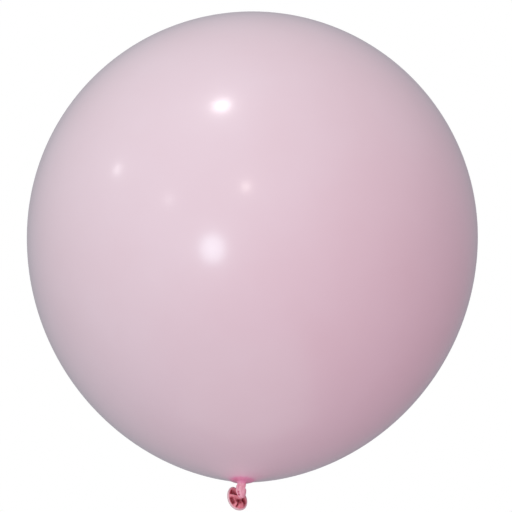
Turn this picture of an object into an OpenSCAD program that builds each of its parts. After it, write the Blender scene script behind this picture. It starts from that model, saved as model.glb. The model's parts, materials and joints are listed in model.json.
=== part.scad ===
// Tied round latex balloon, blown up, with its knot at the bottom. Millimetres, +Z up.
// The origin is the middle of the waist, the narrow place where a ribbon is tied.

/* [Body] */
// Width of the skin at its widest
body_w = 450; // [300:5:900]
// Radius of the flanks over half the width: how gently the lower half narrows
flank_ratio = 1.12; // [1.06:0.01:1.3]
// Radius of the bottom over half the width: how round the bottom stays
tip_ratio = 0.42; // [0.35:0.01:0.7]
// Wall of the skin, many times the real film so that it keeps two faces
film = 0.5; // [0.4:0.05:1]
// Width of the thick spot at the top
crown_w = 18; // [12:1:26]
// Wall in the middle of the thick spot
crown_wall = 1.2; // [0.8:0.1:2]

/* [Throat and waist] */
// Width of the puckered throat where it leaves the skin
throat_w = 23; // [20:0.5:30]
// Width of the throat where it meets the waist
throat_end_w = 10; // [9.6:0.1:12]
// Height of the skin's lowest ring over the waist
throat_h = 7; // [6:0.1:9]
// Pleats gathered round the throat
throat_pleats = 15; // [9:2:21]
// Radius of the waist's upper ball, which bends in the throat
waist_top_r = 4; // [3.6:0.1:4.2]
// Radius of the waist's lower ball, which bends in the knot
waist_low_r = 2.2; // [1.8:0.1:2.4]

/* [Knot] */
// Outer width of the turn wrapped round the neck
turn_w = 10; // [9.4:0.1:10.6]
// Thickness of the turn, from its inside to its outside
turn_t = 2.8; // [2.4:0.1:3]
// Height of the turn's band
turn_h = 5.4; // [4.6:0.1:6]
// Slope of the turn across the knot
turn_slope = 12; // [6:1:16]
// Depth of the knot's lowest point under the waist
knot_depth = 14.5; // [14:0.1:15]

/* [Tail] */
// Outer width of the rolled lip
lip_w = 26; // [22:0.5:28]
// Thickness of the rolled lip
bead_t = 2.2; // [1.6:0.1:2.6]
// Length of the tail from its pivot to the middle of the lip
tail_len = 5.2; // [5:0.1:6]
// Folds gathered round the tail
tail_folds = 7; // [5:1:9]
// Wall of the tail, whose film isn't stretched
tail_wall = 0.7; // [0.5:0.05:0.9]
// Turn of the tail about the neck, from straight back towards the left
tail_turn = 32; // [0:1:60]
// Droop of the tail below level
tail_droop = 12; // [5:1:25]

/* [Hidden] */

// Free space round a ball that bends in its seat.
play = 0.25;
// Free space between pieces that are pulled tight on each other.
seam = 0.06;

skin_color = "#e3ccd5";
crown_color = "#d6a3b3";
throat_color = "#d98ba4";
neck_color = "#e08aa2";
lip_color = "#e7a3b2";

// Radii and centres of the skin's three arcs: crown, flank and bottom.
body_r = body_w / 2;
flank_r = body_r * flank_ratio;
tip_r = body_r * tip_ratio;
flank_x = body_r - flank_r;
tip_drop = sqrt(pow(flank_r - tip_r, 2) - pow(flank_x, 2));
join_a = atan2(tip_drop, -flank_x);
throat_a = acos(throat_w / 2 / tip_r);
crown_a = acos(crown_w / 2 / body_r);
equator_z = throat_h + tip_drop + tip_r * sin(throat_a);

// Pivots: the neck bends sideways at the first, back and forth at the second, the tail at the third.
side_z = 2.6;
nod_z = -2.4;
tail_at = [-1.6, 2.6, -12.2];

// The tail's ball and the cup that the knot forms round it.
tail_ball_r = 1.9;
cup_r = 2.8;

turn_z = -7.2;
stem_r = turn_w / 2 - turn_t - seam;

// Points of an arc from one angle to another, both ends included.
function arc(centre, r, from, to, steps) =
  [for (i = [0:steps]) let (a = from + (to - from) * i / steps) centre + r * [cos(a), sin(a)]];

// One face of the skin from the thick spot down to the throat, set in by a distance.
function skin_line(inset) = concat(
  arc([0, equator_z], body_r - inset, crown_a, 0, 36),
  arc([flank_x, equator_z], flank_r - inset, -2, -join_a, 32),
  arc([0, equator_z - tip_drop], tip_r - inset, -join_a - 1, -throat_a, 4)
);

function reversed(list) = [for (i = [len(list) - 1:-1:0]) list[i]];

// A level ring of points whose radius waves in and out, as gathered film does.
function pleated_ring(r, z, depth, pleats, sides) =
  [for (i = [0:sides - 1]) let (a = 360 * i / sides, w = r + depth * cos(pleats * a))
    [w * cos(a), w * sin(a), z]];

// A closed shell through rings that run along one face and back along the other.
module ring_shell(rings) {
  sides = len(rings[0]);
  count = len(rings);
  polyhedron(
    points = [for (ring = rings) each ring],
    faces = [for (k = [0:count - 1], i = [0:sides - 1])
      let (next = (k + 1) % count, j = (i + 1) % sides)
      each [
        [k * sides + i, next * sides + i, next * sides + j],
        [k * sides + i, next * sides + j, k * sides + j]
      ]]
  );
}

module envelope() {
  color(skin_color)
    rotate_extrude($fn = 180)
      polygon(concat(skin_line(0), reversed(skin_line(film))));
}

module crown_spot() {
  color(crown_color)
    rotate_extrude($fn = 96)
      polygon(concat(
        [[0, equator_z + body_r - crown_wall]],
        arc([0, equator_z], body_r - film, crown_a, crown_a, 1),
        arc([0, equator_z], body_r, crown_a, 90, 6)
      ));
}

// A hollow trumpet of pleats from the skin's rim to the waist, with a round seat for the waist's ball.
module throat() {
  steps = 7;
  sides = 4 * throat_pleats;
  rim_r = throat_w / 2 - 2 * seam;
  end_r = throat_end_w / 2;
  end_z = side_z - 0.4;
  outer = [for (k = [0:steps]) let (a = 90 * k / steps)
    pleated_ring(end_r + (rim_r - end_r) * (1 - sin(a)), end_z + (throat_h - end_z) * cos(a),
      0.4 * sin(a) * cos(a), throat_pleats, sides)];
  inner = [for (k = [steps:-1:0]) let (a = 90 * k / steps)
    pleated_ring(end_r - 1 + (rim_r - end_r + 0.96) * (1 - sin(a)),
      end_z + (throat_h + film - end_z) * cos(a), 0, throat_pleats, sides)];
  color(throat_color)
    difference() {
      ring_shell(concat(outer, inner));
      translate([0, 0, side_z]) sphere(waist_top_r + play, $fn = 64);
    }
}

// Two balls run together: the upper one bends in the throat, the lower one in the knot.
module neck_waist() {
  color(neck_color)
    union() {
      translate([0, 0, side_z]) sphere(waist_top_r, $fn = 64);
      translate([0, 0, nod_z]) sphere(waist_low_r, $fn = 64);
    }
}

// Puts a child that points along +Z at the tail's pivot, pointing along the tail.
module at_tail() {
  translate(tail_at) rotate([0, 0, tail_turn]) rotate([-90 - tail_droop, 0, 0]) children();
}

// The band of the turn, a ring with rounded edges, lower at the front left.
module turn_band(extra = 0) {
  half = (turn_h - turn_t) / 2;
  edge_r = turn_t / 2 + extra;
  translate([0, 0, turn_z])
    rotate([0, 0, 45]) rotate([turn_slope, 0, 0])
      rotate_extrude($fn = 96) translate([turn_w / 2 - turn_t / 2, 0])
        polygon(concat(arc([0, half], edge_r, 0, 180, 12), arc([0, -half], edge_r, 180, 360, 12)));
}

// The neck inside the knot: a cup round the waist's ball, a stem through the turn and a round bottom.
module knot_core() {
  bulb_r = 4.3;
  cup_top_r = 3.6;
  color(neck_color)
    difference() {
      rotate_extrude($fn = 96)
        polygon(concat(
          [[0, nod_z]],
          arc([cup_top_r - 0.8, nod_z - 0.8], 0.8, 90, 0, 5),
          [[cup_top_r, turn_z + 1], [stem_r, turn_z + 0.4], [stem_r, turn_z - 1]],
          arc([0, bulb_r - knot_depth], bulb_r, 38, -90, 16)
        ));
      turn_band(seam);
      translate([0, 0, nod_z]) sphere(waist_low_r + play, $fn = 64);
      translate(tail_at) sphere(cup_r + seam, $fn = 64);
    }
}

module knot_turn() {
  color(neck_color) turn_band();
}

// The end of the neck where it comes out through the turn: a cup round the tail's ball.
module knot_tuck() {
  color(neck_color)
    difference() {
      translate(tail_at) sphere(cup_r, $fn = 64);
      translate(tail_at) sphere(tail_ball_r + play, $fn = 64);
      at_tail() translate([0, 0, -0.6]) cylinder(h = 8, r = 8, $fn = 64);
      turn_band(seam);
    }
}

// The folded trumpet of unstretched film between the knot and the lip, hollow, on its ball.
module tail_flare() {
  steps = 6;
  sides = 8 * tail_folds;
  root_r = 1.2;
  root_h = 1.2;
  rim_r = lip_w / 2 - bead_t - tail_wall - seam;
  rim_h = tail_len - tail_wall / 2;
  fold_depth = 0.75;
  function flare_r(t) = root_r + (rim_r - root_r) * (1 - cos(90 * t));
  function flare_h(t) = root_h + (rim_h - root_h) * sin(90 * t);
  function fold(t) = fold_depth * sin(180 * pow(t, 0.8));
  knot_side = [for (k = [0:steps]) let (t = k / steps)
    pleated_ring(flare_r(t) + tail_wall, flare_h(t), fold(t), tail_folds, sides)];
  mouth_side = [for (k = [steps:-1:0]) let (t = k / steps)
    pleated_ring(flare_r(t), flare_h(t) + tail_wall * sin(90 * t), fold(t), tail_folds, sides)];
  color(lip_color)
    at_tail() {
      sphere(tail_ball_r, $fn = 48);
      ring_shell(concat(knot_side, mouth_side));
    }
}

// The rim of the mouth, film rolled up on itself into a ring.
module lip_bead() {
  color(lip_color)
    at_tail()
      translate([0, 0, tail_len])
        rotate_extrude($fn = 120)
          translate([lip_w / 2 - bead_t / 2, 0]) circle(bead_t / 2, $fn = 32);
}

envelope();
crown_spot();
throat();
neck_waist();
knot_core();
knot_turn();
knot_tuck();
tail_flare();
lip_bead();
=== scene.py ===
import json
import math
import bmesh
import bpy
from mathutils import Matrix, Vector, noise
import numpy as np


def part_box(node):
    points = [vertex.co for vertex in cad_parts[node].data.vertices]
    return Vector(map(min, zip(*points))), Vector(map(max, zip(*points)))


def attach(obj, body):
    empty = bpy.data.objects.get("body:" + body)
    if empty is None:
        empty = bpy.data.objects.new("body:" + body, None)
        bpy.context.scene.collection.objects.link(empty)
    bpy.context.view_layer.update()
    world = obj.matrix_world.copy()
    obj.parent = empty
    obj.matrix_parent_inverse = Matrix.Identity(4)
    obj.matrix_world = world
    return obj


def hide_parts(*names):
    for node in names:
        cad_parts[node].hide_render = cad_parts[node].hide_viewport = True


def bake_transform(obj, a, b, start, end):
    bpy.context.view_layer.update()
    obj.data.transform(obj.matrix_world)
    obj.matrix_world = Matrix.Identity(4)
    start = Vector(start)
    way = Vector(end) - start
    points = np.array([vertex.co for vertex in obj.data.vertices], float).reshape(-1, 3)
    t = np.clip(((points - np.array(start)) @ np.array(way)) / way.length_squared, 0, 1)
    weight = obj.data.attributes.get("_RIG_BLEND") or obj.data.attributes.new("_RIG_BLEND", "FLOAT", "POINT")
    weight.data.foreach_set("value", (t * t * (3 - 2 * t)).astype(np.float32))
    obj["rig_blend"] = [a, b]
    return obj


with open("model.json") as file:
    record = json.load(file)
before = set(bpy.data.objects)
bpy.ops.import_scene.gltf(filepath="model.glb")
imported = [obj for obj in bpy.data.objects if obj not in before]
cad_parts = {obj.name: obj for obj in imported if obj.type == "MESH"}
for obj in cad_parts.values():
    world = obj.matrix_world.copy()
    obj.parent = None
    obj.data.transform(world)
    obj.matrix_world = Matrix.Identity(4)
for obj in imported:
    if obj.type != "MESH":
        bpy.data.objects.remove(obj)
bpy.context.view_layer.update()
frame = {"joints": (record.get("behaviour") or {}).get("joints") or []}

MM = 0.001


# ---------------------------------------------------------------- sizes

skin_low, skin_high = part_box("envelope")
core_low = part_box("knot_core")[0]
pivot = {joint["name"]: Vector(joint["pos_m"]) for joint in frame["joints"]}

# The skin's outline is three arcs, crown, flank and bottom, with radii as shares of half its width.
FLANK_RATIO = 1.12
TIP_RATIO = 0.42
CROWN_W = 18 * MM
THROAT_R = 11.5 * MM
FILM = 0.4 * MM

body_r = (skin_high.x - skin_low.x) / 2
flank_r = body_r * FLANK_RATIO
tip_r = body_r * TIP_RATIO
flank_x = body_r - flank_r
tip_drop = math.sqrt((flank_r - tip_r) ** 2 - flank_x ** 2)
join_a = math.atan2(tip_drop, -flank_x)
throat_a = math.acos(THROAT_R / tip_r)
crown_a = math.acos(CROWN_W / 2 / body_r)
equator_z = skin_low.z + tip_drop + tip_r * math.sin(throat_a)
centre = Vector((0, 0, equator_z))

# The knot draws the skin around it down, most at the throat's edge.
DRAWN = 4 * MM
DRAWN_REACH = 12 * MM
DRAWN_TOP = 60 * MM
throat_z = skin_low.z - DRAWN

# The neck hangs from the throat into the knot.
NECK_R = 4.4 * MM
WAIST_R = 4.2 * MM
NECK_WALL = 0.6 * MM
neck_z = 0.3 * MM
knot_top = -3.4 * MM

# The tail points back and to the left, and down a little. Its lip is a rolled ring, narrower than it is tall.
TAIL_TURN = math.radians(32)
TAIL_DROOP = math.radians(12)
TAIL_LENGTH = 5.2 * MM
TAIL_WALL = 0.3 * MM
LIP_R = 13 * MM
ROLL_R = 1.1 * MM
LIP_NARROW = 0.86
LIP_SHIFT = 0.7 * MM
lip_line_r = LIP_R - ROLL_R
tail_root = pivot["tail_flop"]
tail_axis = Vector((
    -math.sin(TAIL_TURN) * math.cos(TAIL_DROOP),
    math.cos(TAIL_TURN) * math.cos(TAIL_DROOP),
    -math.sin(TAIL_DROOP),
))
tail_turned = (
    Matrix.Translation(tail_root)
    @ Matrix.Rotation(TAIL_TURN, 4, "Z")
    @ Matrix.Rotation(-math.pi / 2 - TAIL_DROOP, 4, "X")
)

# Faces round the skin and the neck.
AROUND = 256
CRISP_EDGE = math.radians(55)


# ---------------------------------------------------------------- mesh helpers

def arc(middle, radius, start, end, steps):
    """Points (r, z) along an arc, both ends included."""
    turn = (end - start) / steps
    return [
        (middle[0] + radius * math.cos(start + turn * i), middle[1] + radius * math.sin(start + turn * i))
        for i in range(steps + 1)
    ]


def bend(start, start_pull, end_pull, end, steps):
    """Points (r, z) along a Bezier curve, both ends included."""
    points = []
    for i in range(steps + 1):
        t = i / steps
        s = 1 - t
        shares = (s ** 3, 3 * s * s * t, 3 * s * t * t, t ** 3)
        corners = (start, start_pull, end_pull, end)
        points.append(tuple(sum(share * corner[k] for share, corner in zip(shares, corners)) for k in (0, 1)))
    return points


def spun(outline, steps, closed=False):
    """A bmesh of the outline's points (r, z) turned right round the Z axis."""
    bm = bmesh.new()
    verts = [bm.verts.new((r, 0, z)) for r, z in outline]
    for a, b in zip(verts, verts[1:] + verts[:1] if closed else verts[1:]):
        bm.edges.new((a, b))
    bmesh.ops.spin(
        bm, geom=bm.verts[:] + bm.edges[:], cent=(0, 0, 0), axis=(0, 0, 1),
        angle=math.tau, steps=steps, use_merge=True,
    )
    bmesh.ops.remove_doubles(bm, verts=bm.verts[:], dist=1e-6)
    bmesh.ops.recalc_face_normals(bm, faces=bm.faces[:])
    return bm


def thickened(bm, wall):
    """Gives a sheet a wall, on the side that its faces turn their backs to."""
    bmesh.ops.solidify(bm, geom=bm.faces[:], thickness=wall)
    return bm


def reshaped(bm, move):
    """Moves every vertex to where a function of its place says, and keeps how deep its colour is, painted
    shade in creases included.
    """
    depth = bm.verts.layers.float.new("depth")
    for vert in bm.verts:
        vert.co, vert[depth] = move(vert.co.copy())
    return bm


def turned_to_tail(bm):
    """Takes a bmesh made round the Z axis to the tail's own axis."""
    bmesh.ops.transform(bm, matrix=tail_turned, verts=bm.verts[:])
    return bm


def finished(bm, name, material, smooth=True):
    """The object of a bmesh, with one material. Its rims stay crisp where it is smooth."""
    for edge in bm.edges:
        if len(edge.link_faces) == 2 and edge.calc_face_angle(0) > CRISP_EDGE:
            edge.smooth = False
    mesh = bpy.data.meshes.new(name)
    bm.to_mesh(mesh)
    bm.free()
    mesh.polygons.foreach_set("use_smooth", [smooth] * len(mesh.polygons))
    piece = bpy.data.objects.new(name, mesh)
    bpy.context.scene.collection.objects.link(piece)
    mesh.materials.append(material)
    return piece


def smooth_share(low, high, value):
    """0 at or below low, 1 at or above high, and an even curve between."""
    t = min(1, max(0, (value - low) / (high - low)))
    return t * t * (3 - 2 * t)


def degrees_from(angle, middle):
    """How many degrees an angle in radians lies from a middle in degrees, the short way round."""
    return (math.degrees(angle) - middle + 180) % 360 - 180


def crease(angle, count, seed):
    """How deep in a fold an angle lies, 0 on the ridges and up to 1 in the narrow valleys, no two alike."""
    wander = 0.9 * math.sin(2 * angle + seed) + 0.6 * math.sin(3 * angle + 2.1 * seed)
    wave = abs(math.sin((count * angle + wander) / 2))
    uneven = 0.75 + 0.25 * math.sin(5 * angle + 3.3 * seed)
    return (1 - wave) ** 1.6 * uneven


# ---------------------------------------------------------------- finishes

def latex(name, thin, deep, mottle, grain):
    """Satin latex: thin colour where it is stretched, deep colour where it gathers and as painted shade in
    its creases and folds, faintly mottled.
    """
    material = bpy.data.materials.new(name)
    material.use_nodes = True
    nodes = material.node_tree.nodes
    links = material.node_tree.links
    surface = nodes["Principled BSDF"]
    place = nodes.new("ShaderNodeTexCoord")

    def cloudy(scale, detail):
        """Soft noise over the piece."""
        node = nodes.new("ShaderNodeTexNoise")
        node.inputs["Scale"].default_value = scale
        node.inputs["Detail"].default_value = detail
        links.new(place.outputs["Object"], node.inputs["Vector"])
        return node.outputs["Fac"]

    def spread(value, low, high):
        """The middle of a noise stretched from low to high."""
        node = nodes.new("ShaderNodeMapRange")
        node.inputs["From Min"].default_value = 0.3
        node.inputs["From Max"].default_value = 0.7
        node.inputs["To Min"].default_value = low
        node.inputs["To Max"].default_value = high
        links.new(value, node.inputs["Value"])
        return node.outputs["Result"]

    def depth_with_clouds(clouds):
        """How deep the colour is, from how little the latex is stretched and from shade painted into its
        creases, made a little uneven.
        """
        depth = nodes.new("ShaderNodeAttribute")
        depth.attribute_name = "depth"
        uneven = nodes.new("ShaderNodeMath")
        uneven.operation = "MULTIPLY"
        uneven.use_clamp = True
        links.new(depth.outputs["Fac"], uneven.inputs[0])
        links.new(spread(clouds, 0.88, 1.12), uneven.inputs[1])
        return uneven.outputs["Value"]

    def thin_to_deep(share):
        """The colour between thin and deep."""
        node = nodes.new("ShaderNodeMix")
        node.data_type = "RGBA"
        node.inputs["A"].default_value = (*thin, 1)
        node.inputs["B"].default_value = (*deep, 1)
        links.new(share, node.inputs["Factor"])
        return node.outputs["Result"]

    def mottled(colour, clouds):
        """A colour with faint patches, a little cooler where they are darker."""
        tone = nodes.new("ShaderNodeCombineColor")
        cooler = spread(clouds, 0.965, 1.0)
        links.new(spread(clouds, 0.985, 1.0), tone.inputs["Red"])
        links.new(cooler, tone.inputs["Green"])
        links.new(cooler, tone.inputs["Blue"])
        node = nodes.new("ShaderNodeMix")
        node.data_type = "RGBA"
        node.blend_type = "MULTIPLY"
        node.inputs["Factor"].default_value = 1
        links.new(colour, node.inputs["A"])
        links.new(tone.outputs["Color"], node.inputs["B"])
        return node.outputs["Result"]

    clouds = cloudy(mottle, 3)
    links.new(mottled(thin_to_deep(depth_with_clouds(clouds)), clouds), surface.inputs["Base Color"])
    fine = cloudy(grain, 4)
    links.new(spread(fine, 0.32, 0.39), surface.inputs["Roughness"])
    surface.inputs["Coat Weight"].default_value = 0.85
    surface.inputs["Coat Roughness"].default_value = 0.17
    bump = nodes.new("ShaderNodeBump")
    bump.inputs["Strength"].default_value = 0.3
    bump.inputs["Distance"].default_value = 0.02 * MM
    links.new(fine, bump.inputs["Height"])
    links.new(bump.outputs["Normal"], surface.inputs["Normal"])
    return material


SKIN_PINK = (0.86, 0.70, 0.77)
# The deep pink of the less stretched latex by the throat; down the neck and in the skin's gathers it is also
# painted shade in the valleys.
GATHER_PINK = (0.86, 0.30, 0.52)
NECK_PINK = (1.0, 0.50, 0.61)
# Painted shade in the knot's creases and pits, and a little over the whole stem and collar.
NECK_CREASE_SHADE = (0.62, 0.10, 0.20)
TAIL_PINK = (0.95, 0.30, 0.37)
# Painted shade in the tail's folds and creases.
TAIL_FOLD_SHADE = (0.30, 0.010, 0.030)
LIP_PINK = (0.93, 0.66, 0.71)
# Painted shade inside the lip's roll and along its outer edge.
LIP_ROLL_SHADE = (0.52, 0.20, 0.25)

skin_latex = latex("stretched_latex", SKIN_PINK, GATHER_PINK, mottle=14, grain=700)
throat_latex = latex("gathered_latex", NECK_PINK, GATHER_PINK, mottle=200, grain=1400)
knot_latex = latex("knotted_latex", NECK_PINK, NECK_CREASE_SHADE, mottle=240, grain=1600)
tail_latex = latex("creased_latex", TAIL_PINK, TAIL_FOLD_SHADE, mottle=240, grain=1600)
lip_latex = latex("rolled_latex", LIP_PINK, LIP_ROLL_SHADE, mottle=240, grain=1600)


# ---------------------------------------------------------------- skin and crown

# The throat's gathers run on into the skin and the neck.
GATHERS = 15
GATHER_SEED = 0.7
GATHER_FADE = 6 * MM
GATHER_LIFT = 0.12 * MM
# The deeper colour round the crown, and the nub in its middle.
CROWN_FADE = 17 * MM
CROWN_DEPTH = 0.55
CROWN_WALL = 0.9 * MM
NUB_R = 2.6 * MM
NUB_HEIGHT = 0.5 * MM


def skin_drawn(co):
    """Draws the skin down to the knot, with the ends of the throat's gathers pressed into it."""
    r = math.hypot(co.x, co.y)
    if co.z > skin_low.z + DRAWN_TOP:
        from_top = math.hypot(r, co.z - skin_high.z)
        return co, CROWN_DEPTH * math.exp(-(from_top / CROWN_FADE) ** 2)
    fade = math.exp(-(r - THROAT_R) / GATHER_FADE)
    fold = crease(math.atan2(co.y, co.x), GATHERS, GATHER_SEED)
    drawn = DRAWN * math.exp(-max(0, r - THROAT_R) / DRAWN_REACH)
    co.z += GATHER_LIFT * fade * fold - drawn
    # Deeper colour near the throat, where the latex is stretched least, and a little shade painted into the
    # gathers' valleys.
    return co, min(1, fade ** 2.6 * (0.72 + 0.15 * fold) + 0.13 * fade ** 0.45)


def make_skin():
    """The stretched skin, from the crown spot round to the throat."""
    crown = arc((0, equator_z), body_r, crown_a, 0, 60)
    flank = arc((flank_x, equator_z), flank_r, 0, -join_a, 52)
    bottom = arc((0, equator_z - tip_drop), tip_r, -join_a, -throat_a, 40)
    skin = spun(crown + flank[1:] + bottom[1:], AROUND)
    piece = finished(thickened(reshaped(skin, skin_drawn), FILM), "skin", skin_latex)
    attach(piece, "balloon")
    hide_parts("envelope")


def crown_raised(co):
    """Raises the small thick nub in the middle of the crown, where the latex is stretched least."""
    r = math.hypot(co.x, co.y)
    nub = math.exp(-(r / NUB_R) ** 2)
    co.z += NUB_HEIGHT * nub
    return co, min(1, CROWN_DEPTH * math.exp(-(r / CROWN_FADE) ** 2) + 0.4 * nub)


def make_crown():
    """The thick spot at the very top."""
    outline = arc((0, equator_z), body_r, math.pi / 2, crown_a, 20)
    outline[0] = (0, outline[0][1])
    crown = reshaped(spun(outline, AROUND), crown_raised)
    piece = finished(thickened(crown, CROWN_WALL), "crown_nub", skin_latex)
    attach(piece, "balloon")
    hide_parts("crown_spot")


# ---------------------------------------------------------------- throat and neck

def gathered(co):
    """Presses the gathers into the throat and the neck, and paints shade into their valleys."""
    r = math.hypot(co.x, co.y)
    fold = crease(math.atan2(co.y, co.x), GATHERS, GATHER_SEED)
    fall = min(1, max(0, (throat_z - co.z) / (throat_z - neck_z)))
    below = min(1, max(0, (neck_z - co.z) / (2.5 * MM)))
    push = Vector((-co.x / r * fall, -co.y / r * fall, 1 - fall))
    # The throat takes the deep gathered pink, a little deeper in the valleys; down the neck the deep colour
    # is only painted shade in the valleys.
    colour = (1 - below) * (0.85 + 0.15 * fold) + below * 0.7 * fold
    return co + push * (0.12 + 0.42 * fall) * MM * fold, colour


def make_throat():
    """The gathered film between the skin and the neck."""
    slope_a = throat_a - math.atan(DRAWN / DRAWN_REACH)
    outline = bend(
        (THROAT_R, throat_z),
        (THROAT_R - 4 * MM * math.sin(slope_a), throat_z - 4 * MM * math.cos(slope_a)),
        (NECK_R, neck_z + 2.2 * MM),
        (NECK_R, neck_z),
        48,
    )
    throat = thickened(reshaped(spun(outline, AROUND), gathered), FILM)
    piece = finished(throat, "throat_gathers", throat_latex)
    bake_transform(piece, "balloon", "waist", start=(0, 0, throat_z - 0.15 * MM), end=(0, 0, neck_z))
    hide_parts("throat")


def make_neck():
    """The narrow neck, which runs down into the knot."""
    outline = bend(
        (NECK_R, neck_z),
        (WAIST_R, neck_z - 1.4 * MM),
        (WAIST_R, knot_top + 1.0 * MM),
        (3.4 * MM, knot_top - 1.5 * MM),
        36,
    )
    neck = thickened(reshaped(spun(outline, AROUND), gathered), NECK_WALL)
    piece = finished(neck, "neck", throat_latex)
    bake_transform(piece, "waist", "knot", start=(0, 0, neck_z - 0.7 * MM), end=(0, 0, knot_top - MM))
    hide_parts("neck_waist")


# ---------------------------------------------------------------- knot

def tied_into_knot(piece, node):
    """A piece of the knot, in the place of one of its CAD nodes."""
    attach(piece, "knot")
    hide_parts(node)


def stem_creased(co):
    """Presses slanted creases into the knot's stem, none in the middle of its ends, and paints shade into
    them.
    """
    r = math.hypot(co.x, co.y)
    if r < 1e-6:
        return co, 0.5
    fold = crease(math.atan2(co.y, co.x) + 60 * co.z, 9, 2.2)
    swell = 0.12 * MM * noise.noise(co / (2.5 * MM))
    way = Vector((co.x, co.y, 0)) / r
    return co + way * (swell - 0.5 * MM * min(1, r / (3 * MM)) * fold), 0.25 + 0.75 * fold


def make_stem():
    """The neck inside the knot, which comes out at its foot."""
    top = (3.2 * MM, knot_top + 0.3 * MM)
    belly = (3.2 * MM, -9.6 * MM)
    upper = bend(top, (3.2 * MM, -5 * MM), (2.6 * MM, -7.5 * MM), belly, 20)
    lower = bend(belly, (4.0 * MM, -11.8 * MM), (3.2 * MM, core_low.z), (0, core_low.z), 26)
    stem = reshaped(spun([(0, top[1])] + upper + lower[1:], 160), stem_creased)
    tied_into_knot(finished(stem, "knot_stem", knot_latex), "knot_core")


def along(stations, share):
    """The numbers of a station a share of the way along, on an even curve through all of them."""
    spot = share * (len(stations) - 1)
    i = min(int(spot), len(stations) - 2)
    t = spot - i
    before, start, end, after = (stations[min(len(stations) - 1, max(0, i + k))] for k in (-1, 0, 1, 2))
    return [
        0.5 * (2 * b + (c - a) * t + (2 * a - 5 * b + 4 * c - d) * t * t + (3 * b - a - 3 * c + d) * t ** 3)
        for a, b, c, d in zip(before, start, end, after)
    ]


def station_frame(stations, share):
    """The place, the directions across and out, and the half width and half thickness of a strand."""
    here = along(stations, share)
    ahead = Vector(along(stations, min(1, share + 0.01))[0:3])
    behind = Vector(along(stations, max(0, share - 0.01))[0:3])
    run = (ahead - behind).normalized()
    across = Vector(here[3:6])
    across = (across - run * across.dot(run)).normalized()
    return Vector(here[0:3]) * MM, across * here[6] * MM, run.cross(across) * here[7] * MM


def strand(stations, folds, seed, steps=90, around=84):
    """A flat roll of creased latex through stations: place, direction across, half width, half thickness."""
    bm = bmesh.new()
    depth = bm.verts.layers.float.new("depth")
    last_ring = None
    for i in range(steps + 1):
        share = i / steps
        middle, across, out = station_frame(stations, share)
        made = bmesh.ops.create_circle(bm, cap_ends=i in (0, steps), radius=1, segments=around)["verts"]
        for vert in made:
            angle = math.atan2(vert.co.y, vert.co.x)
            fold = crease(angle + 0.25 * math.sin(6 * share + seed), folds, seed)
            rough = noise.noise(Vector((math.cos(angle), math.sin(angle), 5 * share)))
            pressed = 1 - 0.13 * fold + 0.03 * rough
            vert.co = middle + (across * vert.co.x + out * vert.co.y) * pressed
            # Painted shade in the creases.
            vert[depth] = 0.55 * fold
        ring = {edge for vert in made for edge in vert.link_edges}
        if last_ring:
            bmesh.ops.bridge_loops(bm, edges=list(last_ring | ring))
        last_ring = ring
    bmesh.ops.recalc_face_normals(bm, faces=bm.faces[:])
    return bm


# Stations in millimetres: x, y, z, the direction across, half width, half thickness. The strap runs down
# the knot's front and dives under it. The loop lies round its right, back and left.
STRAP = [
    (-0.4, 0.0, -0.8, 1, 0, 0, 3.5, 2.2),
    (-0.7, -1.5, -3.0, 1, 0, 0, 4.4, 2.4),
    (-0.9, -2.3, -6.0, 1, 0, 0.05, 4.6, 2.3),
    (-0.6, -2.5, -9.0, 1, 0, 0.15, 4.4, 2.2),
    (0.3, -2.1, -11.9, 1, 0.1, 0.3, 3.6, 1.9),
    (1.2, -0.7, -13.4, 0.9, 0.3, 0.3, 2.5, 1.4),
    (1.2, 1.2, -12.8, 0.9, 0.3, 0, 1.6, 1.2),
]
LOOP = [
    (2.2, -1.2, -11.0, 0.2, 0, 1, 2.0, 1.2),
    (3.2, 0.3, -8.6, 0.1, 0, 1, 3.6, 1.5),
    (2.9, 2.5, -7.4, 0, 0, 1, 3.4, 1.6),
    (0.6, 3.7, -6.5, 0, 0, 1, 3.0, 1.6),
    (-2.4, 2.9, -6.4, 0, 0, 1, 3.0, 1.6),
    (-3.7, 0.5, -7.4, 0, 0, 1, 2.9, 1.5),
    (-3.2, -1.6, -8.8, 0, 0, 1, 2.4, 1.3),
    (-1.4, -1.6, -10.0, 0, 0, 1, 1.6, 1.1),
]
PITS = [Vector((-3.0, -4.6, -9.6)) * MM, Vector((-2.2, -3.9, -12.2)) * MM]


def pitted(bm):
    """Presses two small pits into the strap, where the film under it pulls it in, and paints shade into them.
    """
    depth = bm.verts.layers.float["depth"]
    for vert in bm.verts:
        pit = sum(math.exp(-((vert.co - at).length / MM) ** 2) for at in PITS)
        vert.co.y += 1.2 * MM * min(1, pit)
        vert[depth] = min(1, vert[depth] + 1.3 * pit)
    return bm


def make_turn():
    """The turn of the neck round itself: a loop round the knot and a strap down its front."""
    tied_into_knot(finished(strand(LOOP, 5, 2.6), "knot_loop", knot_latex), "knot_turn")
    tied_into_knot(finished(pitted(strand(STRAP, 6, 1.3)), "knot_strap", knot_latex), "knot_turn")


def collar_creased(co):
    """Presses creases into the collar, and paints shade into them."""
    fold = crease(math.atan2(co.y, co.x), 8, 0.4)
    pressed = 1 - 0.14 * fold
    return Vector((co.x * pressed, co.y * pressed, co.z)), 0.2 + 0.8 * fold


def make_collar():
    """The creased collar round the tail's root, where the end of the neck comes out of the knot."""
    outline = bend(
        (2.2 * MM, -2.6 * MM),
        (3.3 * MM, -1.4 * MM),
        (3.3 * MM, 0.2 * MM),
        (2.3 * MM, 0.7 * MM),
        24,
    )
    collar = turned_to_tail(thickened(reshaped(spun(outline, 120), collar_creased), NECK_WALL))
    tied_into_knot(finished(collar, "knot_collar", knot_latex), "knot_tuck")


# ---------------------------------------------------------------- tail

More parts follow.
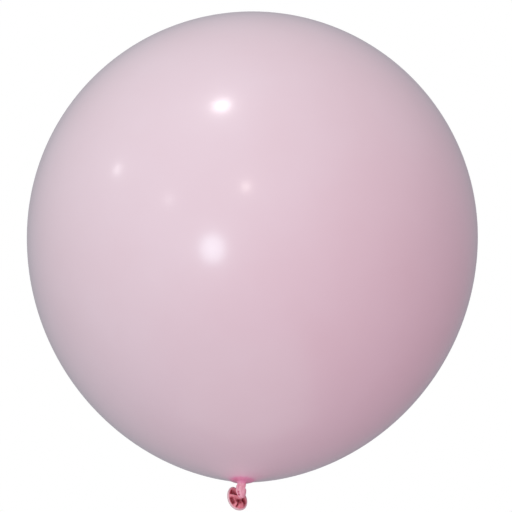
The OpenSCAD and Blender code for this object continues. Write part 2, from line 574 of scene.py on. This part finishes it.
# The skirt's deep folds: the middle's angle and the half width in degrees, how deep, and how far from the
# knot it begins, as a share of the way to the lip.
FOLDS = [
    (-147, 24, 1.0, 0.12), (153, 31, 1.0, 0.60), (106, 8, 0.8, 0.3), (38, 22, 0.7, 0.1),
    (23, 13, 1.0, 0.1), (-18, 11, 0.7, 0.1), (-50, 11, 0.8, 0.1), (-84, 10, 0.6, 0.1),
]
# One more fold runs across, round the lower side.
CROSS_FOLD = {"middle": 95, "width": 52, "reach": 0.40, "reach_width": 0.16, "depth": 0.85}
# Its slices along a ridge and along the bottom of a fold, from the knot out to the lip.
SKIRT_STEPS = 56
rim_point = (lip_line_r - 0.5 * MM, TAIL_LENGTH - 0.4 * MM)
ridge_slice = bend((2.1 * MM, -0.9 * MM), (3.8 * MM, -0.9 * MM), (9.2 * MM, 0.8 * MM), rim_point, SKIRT_STEPS)
fold_slice = bend((2.1 * MM, -0.9 * MM), (1.2 * MM, 5.2 * MM), (5.0 * MM, 6.6 * MM), rim_point, SKIRT_STEPS)
# The flat ring that becomes the skirt has its first step at this radius.
FLAT_START = 10


def folded(angle, reach):
    """How far down in one of the skirt's deep folds a place is, from 0 on a ridge to 1."""
    deepest = 0
    for middle, half_width, depth, begins in FOLDS:
        off = abs(degrees_from(angle, middle)) / half_width
        sunk = depth * (1 - smooth_share(0.45, 1, off)) * smooth_share(begins - 0.1, begins + 0.2, reach)
        deepest = max(deepest, sunk)
    off = degrees_from(angle, CROSS_FOLD["middle"]) / CROSS_FOLD["width"]
    off_reach = (reach - CROSS_FOLD["reach"]) / CROSS_FOLD["reach_width"]
    deepest = max(deepest, CROSS_FOLD["depth"] * math.exp(-off ** 2 - off_reach ** 2))
    return deepest * (1 - 0.9 * smooth_share(0.84, 1.0, reach))


def lip_wave(angle):
    """How far the lip strays from a true ring, outwards and along the tail."""
    notch = math.exp(-(degrees_from(angle, -74) / 30) ** 2)
    out = 0.35 * MM * math.sin(2 * angle + 0.6) + 0.2 * MM * math.sin(3 * angle + 2.0) - 2.8 * MM * notch
    lift = 0.45 * MM * math.sin(2 * angle + 2.4) + 0.3 * MM * math.sin(3 * angle + 0.4)
    return out, lift


def lip_place(r, angle, z, reach):
    """A place on the tail, with the lip's oval and its waves worked in towards the rim."""
    out, lift = lip_wave(angle)
    r += out * reach ** 2
    narrow = 1 - (1 - LIP_NARROW) * reach
    across = r * math.cos(angle) * narrow + LIP_SHIFT * reach ** 1.5
    return Vector((across, r * math.sin(angle), z + lift * reach ** 2))


def skirt_folded(co):
    """Takes a flat ring, its radius counting the steps from the knot to the lip, to the folded skirt."""
    step = min(SKIRT_STEPS, max(0, round(math.hypot(co.x, co.y) / MM) - FLAT_START))
    reach = step / SKIRT_STEPS
    angle = math.atan2(co.y, co.x)
    swirl = angle + 0.35 * (1 - reach) ** 2
    sunk = folded(swirl, reach)
    fine = crease(swirl, 23, 1.9) * math.sin(math.pi * reach)
    r = ridge_slice[step][0] * (1 - sunk) + fold_slice[step][0] * sunk
    z = ridge_slice[step][1] * (1 - sunk) + fold_slice[step][1] * sunk + 0.45 * MM * fine
    # Painted shade in the deep folds and the fine creases, and the colour a little deeper towards the knot.
    return lip_place(r, angle, z, reach), min(1, sunk ** 0.65 + 0.3 * fine + 0.1 * (1 - reach))


def make_skirt():
    """The folded skirt between the knot and the lip."""
    flat = [((FLAT_START + i) * MM, 0) for i in range(SKIRT_STEPS + 1)]
    skirt = turned_to_tail(thickened(reshaped(spun(flat, 360), skirt_folded), TAIL_WALL))
    piece = finished(skirt, "tail_skirt", tail_latex)
    start = tail_root - tail_axis * 0.4 * MM
    end = tail_root + tail_axis * 2.6 * MM
    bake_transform(piece, "knot", "tail", start=start, end=end)
    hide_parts("tail_flare")


def roll_outline(steps=40):
    """The rolled lip's section: a ring whose outer layer ends in a small step on the mouth's side."""
    points = []
    for i in range(steps):
        angle = math.tau * i / steps + 2.2
        layer = ROLL_R * (0.9 + 0.12 * i / steps)
        points.append((lip_line_r + layer * math.cos(angle), TAIL_LENGTH + layer * math.sin(angle)))
    return points


def roll_waved(co):
    """Makes the lip's roll a little uneven and takes it to its oval, with shade painted on the roll's inner
    side and along its outer edge.
    """
    r = math.hypot(co.x, co.y)
    angle = math.atan2(co.y, co.x)
    fat = 1 + 0.08 * math.sin(4 * angle + 1) + 0.05 * noise.noise(Vector((co.x, co.y, 0)) / (2 * MM))
    outward = (r - lip_line_r) / ROLL_R
    colour = 0.12 + 0.5 * max(0, -outward) + 0.7 * max(0, outward - 0.6)
    place = lip_place(lip_line_r + (r - lip_line_r) * fat, angle, TAIL_LENGTH + (co.z - TAIL_LENGTH) * fat, 1)
    return place, min(1, colour)


def make_lip():
    """The rim of the mouth, rolled up on itself."""
    roll = turned_to_tail(reshaped(spun(roll_outline(), 240, closed=True), roll_waved))
    piece = finished(roll, "rolled_lip", lip_latex)
    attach(piece, "tail")
    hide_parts("lip_bead")


make_skin()
make_crown()
make_throat()
make_neck()
make_stem()
make_turn()
make_collar()
make_skirt()
make_lip()


# ---------------------------------------------------------------- camera

LOOK_UP = math.radians(20)
LEAN = math.radians(2.45)
CAMERA_AWAY = 3.2
HALF_VIEW = 0.256
SENSOR_MM = 36
AIM_RIGHT = 3.6 * MM
AIM_DOWN = 19 * MM

forward = Vector((0, math.cos(LOOK_UP), math.sin(LOOK_UP)))
level_up = Vector((0, -math.sin(LOOK_UP), math.cos(LOOK_UP)))
camera_up = (level_up * math.cos(LEAN) - Vector((1, 0, 0)) * math.sin(LEAN)).normalized()
camera_right = forward.cross(camera_up).normalized()


def from_camera(right, up, toward):
    """A direction given as seen by the camera."""
    return (camera_right * right + camera_up * up - forward * toward).normalized()


def make_camera():
    """A long lens that looks up at the balloon from below."""
    data = bpy.data.cameras.new("camera")
    data.sensor_width = SENSOR_MM
    data.lens = SENSOR_MM / 2 / (HALF_VIEW / CAMERA_AWAY)
    data.clip_end = 100
    camera = bpy.data.objects.new("camera", data)
    bpy.context.scene.collection.objects.link(camera)
    turned = Matrix((camera_right, camera_up, -forward)).transposed().to_4x4()
    aim = centre + camera_right * AIM_RIGHT - camera_up * AIM_DOWN
    camera.matrix_world = Matrix.Translation(aim - forward * CAMERA_AWAY) @ turned
    bpy.context.scene.camera = camera


make_camera()


# ---------------------------------------------------------------- studio

def lamp(name, direction, width, power, colour=(1, 1, 1)):
    """A round lamp that shines on the balloon from a direction."""
    data = bpy.data.lights.new(name, "AREA")
    data.shape = "DISK"
    data.size = width
    data.energy = power
    data.color = colour
    made = bpy.data.objects.new(name, data)
    bpy.context.scene.collection.objects.link(made)
    made.location = centre + direction * CAMERA_AWAY
    made.rotation_mode = "QUATERNION"
    made.rotation_quaternion = direction.to_track_quat("Z", "Y")
    made.visible_camera = False


lamp("top_lamp", from_camera(-0.213, 0.906, 0.367), 0.36, 7)
lamp("front_lamp", from_camera(-0.323, -0.021, 0.946), 0.66, 8.6, (0.78, 0.98, 1.03))
lamp("left_spot", from_camera(-0.875, 0.441, 0.197), 0.10, 1.1)
lamp("upper_spot", from_camera(-0.049, 0.429, 0.902), 0.10, 1.5, (1.0, 0.93, 0.85))
lamp("near_spot", from_camera(-0.641, 0.317, 0.699), 0.16, 0.6)


def make_room_light():
    """Soft light all round, brightest from the upper left, with a pink blush from the lower right."""
    world = bpy.data.worlds.new("studio")
    bpy.context.scene.world = world
    world.use_nodes = True
    nodes = world.node_tree.nodes
    links = world.node_tree.links
    nodes.clear()
    way = nodes.new("ShaderNodeTexCoord")

    def facing(direction):
        """How much the way that light comes from faces the given one, from -1 to 1."""
        node = nodes.new("ShaderNodeVectorMath")
        node.operation = "DOT_PRODUCT"
        node.inputs[1].default_value = direction
        links.new(way.outputs["Generated"], node.inputs[0])
        return node.outputs["Value"]

    def ramp(value, stops):
        """Colours along a value."""
        node = nodes.new("ShaderNodeValToRGB")
        elements = node.color_ramp.elements
        for element, (place, colour) in zip(elements, (stops[0], stops[-1])):
            element.position = place
            element.color = (*colour, 1)
        for place, colour in stops[1:-1]:
            elements.new(place).color = (*colour, 1)
        links.new(value, node.inputs[0])
        return node.outputs["Color"]

    share = nodes.new("ShaderNodeMapRange")
    share.inputs["From Min"].default_value = -1
    links.new(facing(from_camera(-0.25, 0.5, 0.83)), share.inputs["Value"])
    room = ramp(share.outputs["Result"], [
        (0, (0.295, 0.32, 0.35)), (0.25, (0.335, 0.355, 0.39)),
        (0.5, (0.525, 0.485, 0.50)), (1, (0.90, 0.93, 0.94)),
    ])
    blush = ramp(facing(from_camera(0.62, -0.70, 0.35)), [(0, (1, 1, 1)), (1, (1.1, 0.60, 0.74))])
    tinted = nodes.new("ShaderNodeMix")
    tinted.data_type = "RGBA"
    tinted.blend_type = "MULTIPLY"
    tinted.inputs["Factor"].default_value = 1
    links.new(room, tinted.inputs["A"])
    links.new(blush, tinted.inputs["B"])
    fill = nodes.new("ShaderNodeBackground")
    links.new(tinted.outputs["Result"], fill.inputs["Color"])
    backdrop = nodes.new("ShaderNodeBackground")
    backdrop.inputs["Color"].default_value = (1, 1, 1, 1)
    rays = nodes.new("ShaderNodeLightPath")
    either = nodes.new("ShaderNodeMixShader")
    links.new(rays.outputs["Is Camera Ray"], either.inputs[0])
    links.new(fill.outputs[0], either.inputs[1])
    links.new(backdrop.outputs[0], either.inputs[2])
    links.new(either.outputs[0], nodes.new("ShaderNodeOutputWorld").inputs["Surface"])


FLOOR_HALF = 3.5
FLOOR_Z = -6.5


def make_floor():
    """A plain pale floor, far enough below for the balloon to be looked at from underneath."""
    bm = bmesh.new()
    bmesh.ops.create_grid(bm, x_segments=2, y_segments=2, size=FLOOR_HALF)
    bmesh.ops.translate(bm, verts=bm.verts[:], vec=(0, 0, FLOOR_Z))
    paint = bpy.data.materials.new("pale_floor")
    paint.use_nodes = True
    surface = paint.node_tree.nodes["Principled BSDF"]
    surface.inputs["Base Color"].default_value = (0.85, 0.85, 0.85, 1)
    surface.inputs["Roughness"].default_value = 0.9
    surface.inputs["Emission Color"].default_value = (1, 1, 1, 1)
    surface.inputs["Emission Strength"].default_value = 0.2
    finished(bm, "floor", paint, smooth=False)


make_room_light()
make_floor()
bpy.context.scene.view_settings.view_transform = "Standard"
